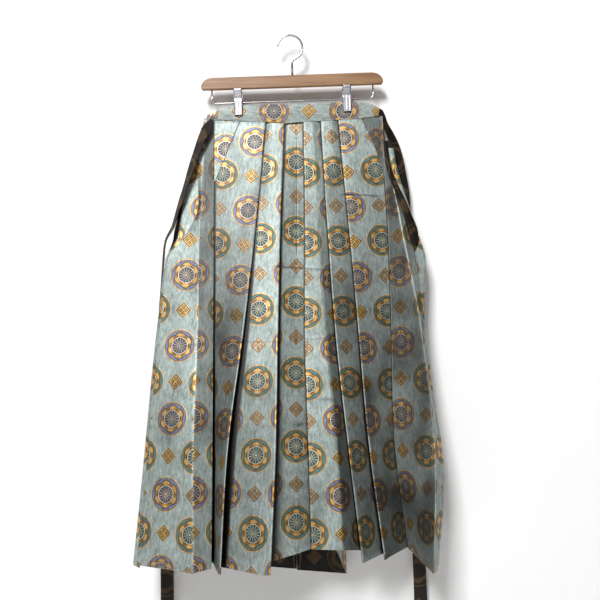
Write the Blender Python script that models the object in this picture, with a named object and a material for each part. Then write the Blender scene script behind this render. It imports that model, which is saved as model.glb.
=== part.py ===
"""Hakama trousers held by the waistband in the two clips of a wooden hanger.

Metres, +Z up, -Y to the front. The origin is inside the top of the hanger's
hook, where the hook is held. Right and left are the wearer's, so the wearer's
right leg lies towards -X. "Depth" is the distance to the front, so y = -depth.
"""

import math
from collections import namedtuple

import bmesh
import bpy
from mathutils import Vector

# Cloth
WALL = 0.0012             # a single wall of brocade
LAYER = 0.0023            # from the middle of one folded layer to the next
SEAM_GAP = 0.0003         # between two pieces that are sewn together
LAP = WALL + 2 * SEAM_GAP # a seam allowance lying under its neighbour
WAIST_GAP = 0.0010        # from the waistband to the tops of the pleats
KNEE_ROOM = 0.004         # from the end of a tuck to where its strip starts to climb
WIDE_STRIP = 0.07         # a strip wider than this gets a point in the middle
PANEL_ROWS = 13
WAISTBAND_THICKNESS = 0.006
WAISTBAND_DEPTH = 0.004
BOARD_THICKNESS = 0.004
BOARD_DEPTH = -0.003
BOARD_BOTTOM = -0.218
TIE_THICKNESS = 0.0016
CENTRE_X = 0.0145         # the seam between the two legs
CROTCH = 0.52             # where the gussets start, as a share of the way to the hem
GUSSET_SPREAD = 0.004     # of each gusset from the centre seam

# Hanger
HANGER_TILT = math.radians(2.0)
BAR_LENGTH = 0.355
BAR_HEIGHT = 0.023
BAR_THICKNESS = 0.012
BAR_CENTRE = Vector((0.0018, 0.0, -0.0882))
SHOULDER_LENGTH = 0.023
SHOULDER_HEIGHT = 0.0185
HOOK_WIRE = 0.0022
HOOK_RING = 0.0243        # radius to the middle of the wire
STEM_X = 0.003
RAIL_WIRE = 0.0015
RAIL_HALF_SPAN = 0.157
RAIL_Z = -0.126
RAIL_BEND = 0.007
CLIP_WIDTH = 0.0165
CLIP_PLATE = 0.0012
SPRING_RADII = (0.0020, 0.0036)
CLIP_X = {"right": -0.1039, "left": 0.1074}

MM = 0.001

# One pleat or crease of a front panel. x_mm is its place at each of FOLD_HEIGHTS.
# depth_mm is how far it stands out at the hem, drop_mm how far the next strip
# lies behind it there, tuck_mm how far that strip runs under it at the waist and
# at the hem, and hem_mm how far the hem hangs below the origin. A crease has no
# drop, because no strip runs under it.
Fold = namedtuple("Fold", "x_mm waist_depth_mm depth_mm drop_mm tuck_mm hem_mm")
FOLD_HEIGHTS = (-0.167, -0.372, -0.577, -0.782, -0.987)
FAN = (0.0, 0.14, 0.34, 0.70, 1.0)    # share of depth_mm reached at each height

RIGHT_FOLDS = (
    Fold((-162, -172, -171, -172, -167), 6.2, 165, 0, (0, 0), 993),
    Fold((-147, -145, -142, -138, -136), 6.2, 150, 30, (10, 6), 989),
    Fold((-46, -64, -85, -109, -118), 6.2, 190, 40, (20, 5), 987),
    Fold((-10, -17, -20, -23, -32), 6.2, 200, 60, (20, 10), 984),
    Fold((14.3, 14.3, 14.3, 14.3, 14.3), 1.6, 125, 0, (0, 0), 971),
)
LEFT_FOLDS = (
    Fold((180, 214, 250, 266, 256), 6.2, 155, 0, (0, 0), 997),
    Fold((177, 190, 196, 200, 224), 6.2, 55, 8, (3, 8), 981),
    Fold((95, 114, 132, 149, 174), 6.2, 120, 40, (20, 8), 983),
    Fold((61, 73, 88, 110, 133), 6.2, 135, 60, (20, 10), 984),
    Fold((46, 56, 70, 89, 98), 6.2, 119, 0, (0, 0), 967),
    Fold((27, 30, 30, 36, 41), 6.2, 122, 14, (15, 12), 965),
    Fold((14.7, 14.7, 14.7, 14.7, 14.7), 1.6, 125, 0, (0, 0), 971),
)

# The sides of the trousers at each of SIDE_HEIGHTS. front is the front panel's
# side edge, outer the outline, where the back panel turns round the side, and
# inset and sink say how far in and how far behind the front the back panel starts.
Side = namedtuple("Side", "front_x front_depth outer_x outer_depth inset sink")
SIDE_HEIGHTS = (-0.158, -0.258, -0.342, -0.395, -0.434, -0.535, -0.66, -0.83, -0.997)
SIDES_MM = {
    "right": Side(
        (-166, -177, -177, -204, -232, -242, -252, -263, -276),
        (6.2, 12, 19, 24, 28, 39, 59, 89, 115),
        (-160, -190, -209, -219, -238, -250, -261, -273, -287),
        (-1, 3, 10, 16, 22, 33, 49, 74, 95),
        (10, 17, 17, 12, 6, 6, 6, 6, 6),
        (5, 6, 8, 4, 0, 0, 0, 0, 0),
    ),
    "left": Side(
        (183, 196, 216, 230, 241, 252, 262, 280, 265),
        (6.2, 14, 22, 28, 32, 45, 68, 104, 135),
        (192, 210, 235, 252, 263, 259, 269, 288, 273),
        (-1, 6, 12, 18, 26, 37, 56, 85, 110),
        (-7, -12, -17, -20, 4, 6, 6, 6, 6),
        (5, 6, 7, 6, 1, 0, 0, 0, 0),
    ),
}

# The back of each leg: where its pleat edge lies at the board and at the hem,
# and how far its hem hangs at the side, beside the pleat, on it and at the centre.
Back = namedtuple("Back", "pleat_x hem_side hem_under hem_pleat hem_centre")
BACKS_MM = {
    "right": Back((-45, -80), 999, 1028, 1034, 1042),
    "left": Back((74, 112), 995, 1000, 1051, 1044),
}
BACK_DEPTH = -0.004
BACK_TUCK = 0.022

# Outline of the waistband from the wearer's right end to the left one.
BAND_X_MM = (-160, -147, -108, -68, -46, -10, 27, 61, 95, 133, 160, 174)
BAND_BOTTOM_MM = (-160, -162, -166, -168, -169, -171, -168, -166, -164, -162, -158, -156)
BAND_TOP_MM = (-156, -150, -135, -135, -134, -133, -132, -131, -130, -129, -133, -142)

# Ties, point by point: sideways, depth, height, turn out of the front plane.
Tie = namedtuple("Tie", "width points")
TIES = {
    "front_tie_right": Tie(0.026, (
        (-147, 9.2, -157, 0), (-153, 13, -170, 16), (-161, 16, -187, 34),
        (-170, 18, -206, 46), (-179, 17, -229, 53), (-188, 15, -253, 57),
        (-202, 12, -297, 63), (-209, 11, -320, 60), (-217, 10, -342, 68),
        (-226, 8, -372, 68), (-241, 4, -400, 73), (-246, 0, -440, 73),
        (-250, -5, -485, 74), (-252, -12, -545, 58), (-250, -16, -620, 28),
        (-247, -17, -720, 0), (-244, -17, -860, 0), (-242, -17, -1000, 0),
        (-241, -17, -1090, 0), (-241, -17, -1172, 0))),
    "front_tie_left": Tie(0.026, (
        (161, -1.6, -147, 0), (171, -5, -150, 20), (180, -9, -157, 58),
        (189, -12, -172, 76), (199, -13, -191, 70), (208, -14, -216, 54),
        (215, -16, -240, 52), (220, -17.5, -266, 52), (226, -18.5, -305, 46),
        (227, -18.5, -370, 26), (230, -18, -470, 8), (238, -18, -620, 0),
        (246, -18, -780, 0), (252, -18, -940, 0), (257, -18, -1060, 0),
        (260, -18, -1172, 0))),
    "back_tie_right": Tie(0.028, (
        (-157, -9.4, -203, 0), (-168, -9.6, -225, 0), (-178, -9.8, -262, 0),
        (-186, -10, -300, -8), (-196, -10, -326, -25), (-207, -9, -345, -45),
        (-212, -7, -362, -60), (-217.5, -4, -380, -68), (-220.5, -4, -400, -68),
        (-227, -5, -420, -66), (-234, -8, -440, -58), (-233, -12, -470, -35),
        (-224, -15, -520, 0), (-209, -15, -650, 0), (-201, -15, -780, 0),
        (-198, -15, -900, 0))),
    "back_tie_left": Tie(0.028, (
        (184, -9.4, -203, 0), (192, -9.8, -240, 0), (197, -11, -300, 0),
        (199, -14, -380, 0), (200, -15, -500, 0), (197, -15, -640, 0),
        (194, -15, -780, 0), (192, -15, -900, 0))),
}

COLOURS = {
    "brocade": ((0.42, 0.47, 0.44), 0.45, 0.0),
    "reverse": ((0.06, 0.05, 0.04), 0.60, 0.0),
    "wood": ((0.55, 0.33, 0.17), 0.40, 0.0),
    "metal": ((0.62, 0.62, 0.64), 0.22, 1.0),
    "pad": ((0.03, 0.03, 0.03), 0.70, 0.0),
}


def make_material(name, colour):
    """Give each sub-part its own plain material."""
    base, roughness, metallic = COLOURS[colour]
    material = bpy.data.materials.new(name)
    material.use_nodes = True
    shader = material.node_tree.nodes["Principled BSDF"]
    shader.inputs["Base Color"].default_value = (*base, 1.0)
    shader.inputs["Roughness"].default_value = roughness
    shader.inputs["Metallic"].default_value = metallic
    return material


def add_object(name, bm, colour, smooth=True):
    """Turn a bmesh into a named object with its material."""
    mesh = bpy.data.meshes.new(name)
    bm.to_mesh(mesh)
    bm.free()
    if smooth:
        mesh.shade_smooth()
        mesh.set_sharp_from_angle(angle=math.radians(35))
    mesh.materials.append(make_material(name, colour))
    part = bpy.data.objects.new(name, mesh)
    bpy.context.collection.objects.link(part)
    return part


def between(value, heights, numbers):
    """Read a smooth curve through numbers given at falling heights."""
    last = len(heights) - 1
    if value >= heights[0]:
        return numbers[0]
    if value <= heights[last]:
        return numbers[last]
    i = next(k for k in range(last) if heights[k + 1] <= value)
    span = heights[i + 1] - heights[i]
    share = (value - heights[i]) / span

    def slope(k):
        low = max(k - 1, 0)
        high = min(k + 1, last)
        return (numbers[high] - numbers[low]) / (heights[high] - heights[low]) * span

    square = share * share
    cube = square * share
    return ((2 * cube - 3 * square + 1) * numbers[i] + (cube - 2 * square + share) * slope(i)
            + (3 * square - 2 * cube) * numbers[i + 1] + (cube - square) * slope(i + 1))


def along(x, xs, numbers):
    """Read a table in millimetres along rising x, straight from row to row."""
    x = min(max(x / MM, xs[0]), xs[-1])
    i = next(k for k in range(len(xs) - 1) if x <= xs[k + 1])
    share = (x - xs[i]) / (xs[i + 1] - xs[i])
    return MM * (numbers[i] + share * (numbers[i + 1] - numbers[i]))


def waist_z(x):
    return along(x, BAND_X_MM, BAND_BOTTOM_MM)


def fan_at(z):
    return between(z, FOLD_HEIGHTS, FAN)


def mix(a, b, share):
    return a + (b - a) * share


def fold_place(fold, z):
    """Give a fold's place in a level section: x and depth."""
    x = MM * between(z, FOLD_HEIGHTS, fold.x_mm)
    return Vector((x, MM * mix(fold.waist_depth_mm, fold.depth_mm, fan_at(z))))


def side_place(side, z, x_name, depth_name):
    row = SIDES_MM[side]
    x = MM * between(z, SIDE_HEIGHTS, getattr(row, x_name))
    return Vector((x, MM * between(z, SIDE_HEIGHTS, getattr(row, depth_name))))


def front_section(side, share):
    """Points across a front panel, from its side edge to the centre seam.

    share runs from 0 at the waistband to 1 at the hem. Under each pleat the cloth
    turns back and turns again, so a pleat is three layers of one sheet.
    """
    folds = RIGHT_FOLDS if side == "right" else LEFT_FOLDS
    way = 1.0 if side == "right" else -1.0
    line = []

    def height(x, hem_mm):
        return mix(waist_z(x) - WAIST_GAP, -MM * hem_mm, share)

    def add(place, hem_mm):
        line.append((place.x, place.y, height(place.x, hem_mm)))

    z = height(MM * folds[0].x_mm[0], folds[0].hem_mm)
    previous = side_place(side, z, "front_x", "front_depth")
    add(previous, folds[0].hem_mm)
    for fold, next_fold in zip(folds, folds[1:] + folds[-1:]):
        z = height(MM * fold.x_mm[0], fold.hem_mm)
        fan = fan_at(z)
        place = fold_place(fold, z)
        add(place, fold.hem_mm)
        if fold.drop_mm == 0:
            previous = place
            continue
        tuck = MM * mix(*fold.tuck_mm, fan)
        heading = (place - previous).normalized()
        turned = place + Vector((heading.y, -heading.x)) * way * LAYER
        drop = max(MM * fold.drop_mm * fan, 2 * LAYER)
        under = place - Vector((0.0, drop))
        following = fold_place(next_fold, z)
        run = following - under
        onward = Vector((way, 0.0)).lerp(run.normalized(), fan).normalized()
        hidden = under - onward * tuck
        hidden_turned = hidden + Vector((-onward.y, onward.x)) * way * LAYER
        for point in (turned, hidden_turned, hidden):
            add(point, fold.hem_mm)
        hem_mm = mix(fold.hem_mm, next_fold.hem_mm, 0.3)
        add(under, hem_mm)
        previous = under
        if next_fold.drop_mm > 0:
            # The strip climbs at once to the height of its own pleat, to leave room
            # for the layers that lie under that pleat.
            room = MM * mix(*next_fold.tuck_mm, fan) + KNEE_ROOM
            straight = following - run * min(room / run.length, 0.75)
            raised = Vector((straight.x, following.y))
            knee = raised.lerp(straight, min(1.0, 3 * fan))
            if MM * abs(next_fold.x_mm[0] - fold.x_mm[0]) > WIDE_STRIP:
                add(under.lerp(knee, 0.5), hem_mm)
            add(knee, hem_mm)
            previous = knee
    return line


def depth_on(points, x):
    """Depth of the lowest layer of a section at a sideways place."""
    found = []
    for (x0, d0, _), (x1, d1, _) in zip(points, points[1:]):
        if min(x0, x1) <= x <= max(x0, x1) and x0 != x1:
            found.append(mix(d0, d1, (x - x0) / (x1 - x0)))
    return min(found)


def back_section(side, share):
    """Points across a back panel, from under the front's side edge to the centre.

    The centre strip lies outermost. Its edge faces the side, and the side strip
    runs under it, turns back and becomes the centre strip.
    """
    row = BACKS_MM[side]
    way = 1.0 if side == "right" else -1.0
    top = BOARD_BOTTOM - SEAM_GAP
    z_side = mix(top, -MM * row.hem_side, share)
    z_under = mix(top, -MM * row.hem_under, share)
    z_pleat = mix(top, -MM * row.hem_pleat, share)
    z_centre = mix(top, -MM * row.hem_centre, share)

    front = side_place(side, z_side, "front_x", "front_depth")
    inner = side_place(side, z_side, "inset", "sink")
    outer = side_place(side, z_side, "outer_x", "outer_depth")
    start = Vector((front.x + way * inner.x, front.y - LAP - inner.y))
    spread = 0.5 * (outer.y - BACK_DEPTH)
    corner_x = outer.x + way * (0.010 + 0.5 * spread)
    turn_x = outer.x + way * 0.2 * spread
    turn_depth = mix(outer.y, BACK_DEPTH, 0.55)
    pleat_x = MM * mix(row.pleat_x[0], row.pleat_x[1], share)
    hidden_x = pleat_x + way * BACK_TUCK
    lift = BACK_DEPTH - LAYER * 2 - 0.003 * share
    mid_x = mix(corner_x, pleat_x, 0.5)
    return [
        (start.x, start.y, z_side),
        (outer.x, outer.y, z_side),
        (turn_x, turn_depth, z_side),
        (corner_x, BACK_DEPTH, mix(z_side, z_under, 0.2)),
        (mid_x, BACK_DEPTH, mix(z_side, z_under, 0.6)),
        (hidden_x, BACK_DEPTH, z_under),
        (hidden_x, BACK_DEPTH - LAYER, z_under),
        (pleat_x, mix(lift, BACK_DEPTH, 0.5), z_pleat),
        (pleat_x, lift, z_pleat),
        (mix(pleat_x, CENTRE_X, 0.5), lift, mix(z_pleat, z_centre, 0.5)),
        (CENTRE_X - way * SEAM_GAP / 2, lift, z_centre),
    ]


def gusset_section(side, share):
    """Points across a gusset, from the front's centre seam to the back's."""
    way = 1.0 if side == "right" else -1.0
    level = mix(CROTCH, 1.0, share)
    x = CENTRE_X - way * GUSSET_SPREAD
    front = front_section(side, level)
    back = back_section(side, level)
    front_depth = depth_on(front, x) - 2 * LAP
    back_depth = back[-1][1] + LAP
    z_front = front[-1][2]
    z_back = back[-1][2]
    bow = -way * 0.002 * share
    return [
        (x + bow * math.sin(math.pi * s), mix(front_depth, back_depth, s),
         mix(z_front, z_back, s))
        for s in (0.0, 0.25, 0.5, 0.75, 1.0)
    ]


def add_wall(name, rows, thickness, colour):
    """Make a sheet through rows of points, and give it a wall."""
    across = len(rows[0])
    bm = bmesh.new()
    bmesh.ops.create_grid(bm, x_segments=across - 1, y_segments=len(rows) - 1, size=0.5)
    bm.verts.ensure_lookup_table()
    for j, row in enumerate(rows):
        for i, (x, depth, z) in enumerate(row):
            bm.verts[j * across + i].co = (x, -depth, z)
    part = add_object(name, bm, colour)
    wall = part.modifiers.new("wall", "SOLIDIFY")
    wall.thickness = thickness
    wall.offset = 0.0
    wall.use_even_offset = True
    wall.use_quality_normals = True
    return part


def add_leg_panels():
    shares = [j / (PANEL_ROWS - 1) for j in range(PANEL_ROWS)]
    for side in ("right", "left"):
        fronts = [front_section(side, share) for share in shares]
        add_wall(f"front_{side}_leg", fronts, WALL, "brocade")
        backs = [back_section(side, share) for share in shares]
        add_wall(f"back_{side}_leg", backs, WALL, "brocade")
        gussets = [gusset_section(side, share) for share in shares[::2]]
        add_wall(f"gusset_{side}", gussets, WALL, "brocade")


def add_waistband():
    """The front waistband, as tall as two layers of brocade folded over."""
    stations = []
    for x, next_x in zip(BAND_X_MM, BAND_X_MM[1:]):
        stations += [MM * x, MM * mix(x, next_x, 0.5)]
    stations.append(MM * BAND_X_MM[-1])
    rows = []
    for share in (0.0, 0.5, 1.0):
        rows.append([(x, WAISTBAND_DEPTH, mix(along(x, BAND_X_MM, BAND_TOP_MM), waist_z(x), share))
                     for x in stations])
    add_wall("front_waistband", rows, WAISTBAND_THICKNESS, "brocade")


def add_back_board():
    """The stiffened board at the back of the waist, wider at the bottom."""
    top_z = (-0.1375, -0.1320)
    top_x = (-0.108, 0.128)
    bottom_x = (-0.150, 0.188)
    rows = []
    for share in (0.0, 0.5, 1.0):
        left = mix(top_x[0], bottom_x[0], share)
        right = mix(top_x[1], bottom_x[1], share)
        row = []
        for s in (0.0, 0.25, 0.5, 0.75, 1.0):
            x = mix(left, right, s)
            row.append((x, BOARD_DEPTH, mix(mix(*top_z, s), BOARD_BOTTOM, share)))
        rows.append(row)
    add_wall("back_board", rows, BOARD_THICKNESS, "brocade")


def add_tie(name, tie):
    """A flat tie: a strip along its points, turned about its own length."""
    count = len(tie.points)
    rows = []
    places = [Vector((x, z)) * MM for x, _, z, _ in tie.points]
    for i, (_, depth, _, turn) in enumerate(tie.points):
        here = places[i]
        run = (places[min(i + 1, count - 1)] - places[max(i - 1, 0)]).normalized()
        across = Vector((-run.y, run.x))
        angle = math.radians(turn)
        half = 0.5 * tie.width
        row = []
        for s in (-1.0, 0.0, 1.0):
            reach = s * half * math.cos(angle)
            row.append((here.x + across.x * reach, depth * MM + s * half * math.sin(angle),
                        here.y + across.y * reach))
        rows.append(row)
    add_wall(name, rows, TIE_THICKNESS, "reverse")


def add_tube(name, points, radius, colour):
    """A round wire along its points, with filled ends."""
    curve = bpy.data.curves.new(name, "CURVE")
    curve.dimensions = "3D"
    curve.bevel_depth = radius
    curve.bevel_resolution = 3
    curve.use_fill_caps = True
    spline = curve.splines.new("POLY")
    spline.points.add(len(points) - 1)
    for point, place in zip(spline.points, points):
        point.co = (place[0], place[1], place[2], 1.0)
    curve.materials.append(make_material(name, colour))
    part = bpy.data.objects.new(name, curve)
    bpy.context.collection.objects.link(part)
    return part


def arc(centre, radius, start, end, steps):
    """Points on an arc in the X-Z plane, in degrees from +X towards +Z."""
    points = []
    for i in range(steps + 1):
        angle = math.radians(mix(start, end, i / steps))
        points.append((centre[0] + radius * math.cos(angle), 0.0,
                       centre[1] + radius * math.sin(angle)))
    return points


def add_hook():
    """The hook: most of a ring, a bend back, and the stem into the bar."""
    centre = (0.0, HOOK_WIRE - HOOK_RING)
    ring = arc(centre, HOOK_RING, 172, -70, 32)
    end_x = ring[-1][0]
    end_z = ring[-1][2]
    bend = (end_x - STEM_X) / (1.0 - math.cos(math.radians(70)))
    bend_centre = (STEM_X + bend, end_z - bend * math.sin(math.radians(70)))
    back = arc(bend_centre, bend, 110, 180, 6)[1:]
    stem_foot = (STEM_X, 0.0, BAR_CENTRE.z + BAR_HEIGHT / 2 + SEAM_GAP)
    return add_tube("hanger_hook", ring + back + [stem_foot], HOOK_WIRE, "metal")


def add_rail():
    """The wire rail under the bar that the clips slide on."""
    left = STEM_X - 0.001 - RAIL_HALF_SPAN
    right = STEM_X - 0.001 + RAIL_HALF_SPAN
    top = BAR_CENTRE.z - BAR_HEIGHT / 2 - SEAM_GAP
    points = [(left, 0.0, top)]
    points += arc((left + RAIL_BEND, RAIL_Z + RAIL_BEND), RAIL_BEND, 180, 270, 6)
    points += arc((right - RAIL_BEND, RAIL_Z + RAIL_BEND), RAIL_BEND, 270, 360, 6)
    points.append((right, 0.0, top))
    return add_tube("hanger_rail", points, RAIL_WIRE, "metal")


def extrude_outline(outline, start, end, axis):
    """Extrude a closed outline between two places on an axis."""
    bm = bmesh.new()
    first = {"X": lambda a, b: (start, a, b), "Y": lambda a, b: (a, start, b)}[axis]
    face = bm.faces.new([bm.verts.new(first(a, b)) for a, b in outline])
    step = {"X": (end - start, 0, 0), "Y": (0, end - start, 0)}[axis]
    out = bmesh.ops.extrude_face_region(bm, geom=[face])
    moved = [v for v in out["geom"] if isinstance(v, bmesh.types.BMVert)]
    bmesh.ops.translate(bm, vec=step, verts=moved)
    bmesh.ops.recalc_face_normals(bm, faces=bm.faces)
    return bm


def add_bar():
    """The wooden bar, flat underneath, with rounded shoulders."""
    half = BAR_LENGTH / 2
    low = -BAR_HEIGHT / 2
    right_end = []
    for i in range(9):
        angle = math.radians(90 * i / 8)
        right_end.append((half - SHOULDER_LENGTH + SHOULDER_LENGTH * math.sin(angle),
                          low + BAR_HEIGHT - SHOULDER_HEIGHT + SHOULDER_HEIGHT * math.cos(angle)))
    right_end.append((half - 0.0025, low))
    left_end = [(-x, z) for x, z in reversed(right_end)]
    outline = [(BAR_CENTRE.x + x, BAR_CENTRE.z + z) for x, z in right_end + left_end]
    bm = extrude_outline(outline, -BAR_THICKNESS / 2, BAR_THICKNESS / 2, "Y")
    part = add_object("hanger_bar", bm, "wood")
    edges = part.modifiers.new("rounded_edges", "BEVEL")
    edges.width = 0.0018
    edges.segments = 2
    edges.limit_method = "ANGLE"
    edges.angle_limit = math.radians(60)
    return part


def plate_outline(face, jaw, flare):
    """A clip plate seen from its end: a finger tab, the pivot and the jaw.

    face is the plate's inner face at the pivot and the jaw, and the tab flares
    outwards above. Positive numbers run away from the rail.
    """
    inner = [(face, jaw), (face, 0.006), (face + flare, 0.025)]
    outer = [(distance + CLIP_PLATE, z) for distance, z in reversed(inner)]
    return inner + outer


def add_clip(side, x):
    """One spring clip: two plates, two pads and the spring round the rail."""
    parts = []
    half = CLIP_WIDTH / 2
    stacks = {
        "front": (-1.0, WAISTBAND_DEPTH + WAISTBAND_THICKNESS / 2),
        "back": (1.0, -BOARD_DEPTH + BOARD_THICKNESS / 2),
    }
    for facing, (way, cloth_face) in stacks.items():
        pad_in = cloth_face + SEAM_GAP + 0.0002
        pad_out = pad_in + 0.0017
        pad = [(pad_in, -0.0275), (pad_in, -0.010), (pad_out, -0.010), (pad_out, -0.0275)]
        plate = plate_outline(pad_out + SEAM_GAP, -0.026, 0.0035)
        for kind, outline, inset, colour in (
                ("pad", pad, 0.0008, "pad"), ("plate", plate, 0.0, "metal")):
            shape = [(way * a, RAIL_Z + b) for a, b in outline]
            bm = extrude_outline(shape, x - half + inset, x + half - inset, "X")
            parts.append(add_object(f"clip_{side}_{facing}_{kind}", bm, colour, smooth=False))
    bm = bmesh.new()
    profile = [bm.verts.new((x - 0.004, 0.0, RAIL_Z + r)) for r in SPRING_RADII]
    profile += [bm.verts.new((x + 0.004, 0.0, RAIL_Z + r)) for r in reversed(SPRING_RADII)]
    ring = [bm.edges.new((profile[i], profile[(i + 1) % 4])) for i in range(4)]
    bmesh.ops.spin(bm, geom=profile + ring, cent=(x, 0.0, RAIL_Z), axis=(1.0, 0.0, 0.0),
                   angle=2 * math.pi, steps=16, use_merge=True)
    bmesh.ops.recalc_face_normals(bm, faces=bm.faces)
    parts.append(add_object(f"clip_{side}_spring", bm, "metal"))
    return parts


def add_hanger():
    """The hanger is made level, then hangs a little askew from its hook."""
    tilt = bpy.data.objects.new("hanger_tilt", None)
    bpy.context.collection.objects.link(tilt)
    tilt.rotation_euler = (0.0, -HANGER_TILT, 0.0)
    parts = [add_hook(), add_rail(), add_bar()]
    for side, x in CLIP_X.items():
        parts += add_clip(side, x)
    for part in parts:
        part.parent = tilt


def main():
    for old in list(bpy.data.objects):
        bpy.data.objects.remove(old, do_unlink=True)
    add_leg_panels()
    add_waistband()
    add_back_board()
    for name, tie in TIES.items():
        add_tie(name, tie)
    add_hanger()
    bpy.context.view_layer.update()


main()
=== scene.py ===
"""The finish of a pair of hakama trousers hanging from a wooden clip hanger.

Metres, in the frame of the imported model: +Z up, -Y to the front, right and left
the wearer's. "Depth" is the distance to the front, so y = -depth. The cloth's
tables follow those of the part closely, read at many more places and with soft bends.
"""

import math
from collections import namedtuple
from functools import partial

import bmesh
import bpy
from mathutils import Matrix, Vector, noise


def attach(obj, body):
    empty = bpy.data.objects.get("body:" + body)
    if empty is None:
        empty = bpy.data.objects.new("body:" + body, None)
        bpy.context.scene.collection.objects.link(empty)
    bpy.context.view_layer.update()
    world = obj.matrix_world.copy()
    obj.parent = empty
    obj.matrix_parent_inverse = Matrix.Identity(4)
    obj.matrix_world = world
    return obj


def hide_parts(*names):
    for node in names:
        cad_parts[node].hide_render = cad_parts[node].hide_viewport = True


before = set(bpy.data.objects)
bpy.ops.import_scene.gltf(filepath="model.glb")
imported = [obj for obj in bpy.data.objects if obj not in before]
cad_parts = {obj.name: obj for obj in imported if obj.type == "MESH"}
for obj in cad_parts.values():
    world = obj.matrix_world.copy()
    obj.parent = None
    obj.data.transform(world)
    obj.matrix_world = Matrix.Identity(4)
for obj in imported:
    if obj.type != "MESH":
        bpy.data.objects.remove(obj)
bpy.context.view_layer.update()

MM = 0.001

# Cloth
CLOTH = 0.0008            # thickness of the brocade that shows
LAYER = 0.0023            # from the middle of one folded layer to the next
SEAM_GAP = 0.0003
LAP = 0.0018              # a seam allowance lying under its neighbour
WAIST_GAP = 0.0006
KNEE_ROOM = 0.004
WIDE_STRIP = 0.07
ROW_PITCH = 0.0056
STATION_PITCH = 0.0048
FRONT_LENGTH = 0.84
CENTRE_X = 0.0145
CROTCH = 0.52             # share of the way down at which the gussets start
GUSSET_SPREAD = 0.004
BAND_DEPTH = 0.004
BAND_THICKNESS = 0.0058
BOARD_DEPTH = -0.003
BOARD_THICKNESS = 0.0038
BOARD_BOTTOM = -0.218
BOARD_TOP_Z = (-0.1375, -0.1320)
BOARD_TOP_X = (-0.108, 0.128)
BOARD_BOTTOM_X = (-0.150, 0.188)
TIE_THICKNESS = 0.0012

# How widely the cloth bends: at an open fold, at a knee and at a broad turn
FOLD_BEND = 0.004
KNEE_BEND = 0.012
BROAD_BEND = 0.02

# The repeat of the figures, across and along the warp
REPEAT = (0.112, 0.136)

# Which way along x the centre lies
WAY = {"right": 1.0, "left": -1.0}

Fold = namedtuple("Fold", "x_mm waist_depth_mm depth_mm drop_mm tuck_mm hem_mm")
FOLD_HEIGHTS = (-0.167, -0.372, -0.577, -0.782, -0.987)
FAN = (0.0, 0.14, 0.34, 0.70, 1.0)
CENTRE_FOLD = Fold((14.5,) * 5, 1.6, 125, 0, (0, 0), 971)
FOLDS = {
    "right": (
        Fold((-162, -172, -171, -172, -167), 6.2, 165, 0, (0, 0), 993),
        Fold((-147, -145, -142, -138, -136), 6.2, 150, 30, (10, 6), 989),
        Fold((-46, -64, -85, -109, -118), 6.2, 190, 40, (20, 5), 987),
        Fold((-10, -17, -20, -23, -32), 6.2, 200, 60, (20, 10), 984),
        CENTRE_FOLD,
    ),
    "left": (
        Fold((180, 214, 250, 266, 256), 6.2, 155, 0, (0, 0), 997),
        Fold((177, 190, 196, 200, 224), 6.2, 55, 8, (3, 8), 981),
        Fold((95, 114, 132, 149, 174), 6.2, 120, 40, (20, 8), 983),
        Fold((61, 73, 88, 110, 133), 6.2, 135, 60, (20, 10), 984),
        Fold((46, 56, 70, 89, 98), 6.2, 119, 0, (0, 0), 967),
        Fold((27, 30, 30, 36, 41), 6.2, 122, 14, (15, 12), 965),
        CENTRE_FOLD,
    ),
}

# How the figures lie on the strip that ends at each fold: where the wheels in teal
# stand from the fold, how far they start below the waist, both in millimetres, and
# how far they drift off the fold per metre. A crease without numbers of its own
# leaves the figures running on across it.
Grain = namedtuple("Grain", "column_mm phase_mm drift")
GRAINS = {
    "right": (Grain(-55, 105, -0.08), Grain(19, 98, 0), Grain(-73.5, 108, 0),
              Grain(-37, 91, 0), Grain(-1, 77, 0)),
    "left": (Grain(-30, 100, 0), Grain(36, 100, 0), Grain(-63, 104, 0),
             Grain(-19, 100, 0), None, Grain(-2, 100, 0), Grain(1, 77, 0)),
}

# Painted shade behind each pleat: how far its dark reaches past the pleat's edge at
# each of FOLD_HEIGHTS, and how softly it ends.
NONE = (0,) * 5
PAINTED_TUCK_SHADE_MM = {
    "right": (NONE, (3,) * 5, (1, 2, 9, 13, 7), (3, 3, 3, 4, 6), NONE),
    "left": (NONE, NONE, (1, 1, 2, 3, 3), (1, 1, 2, 2, 2), NONE, (0.6,) * 5, NONE),
}
PAINTED_TUCK_FADE = 0.004

# Painted shade on each strip of a front at each of FOLD_HEIGHTS, where the strip turns away from
# the light.
PAINTED_STRIP_SHADES = {
    "right": (NONE, (0.55, 0.66, 0.56, 0.32, 0.20), (0.05, 0.30, 0.55, 0.55, 0.60),
              (0.10, 0.05, 0.05, 0.28, 0), NONE),
    "left": ((0.65, 0.65, 0.30, 0, 0.10), (0.66, 0.70, 0.68, 0.58, 0.70),
             (0, 0.10, 0.35, 0.60, 0.80), (0.05, 0.20, 0.45, 0.42, 0.35),
             (0, 0.05, 0.25, 0.45, 0.45), (0, 0.10, 0, 0, 0), NONE),
}
# The deepest painted shade, the painted shade all over the waistband, and the painted shade along
# the flaps' slanting edges.
DEEPEST_SHADE = 0.85
BAND_SHADE = 0.22
SLANT_SHADE = 0.9

# The stitched line down the centre: how dark it is, its two ends and their fade.
SEAM_SHADE = 0.8
SEAM_ENDS = (-0.194, -0.430)
SEAM_FADE = 0.006

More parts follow.
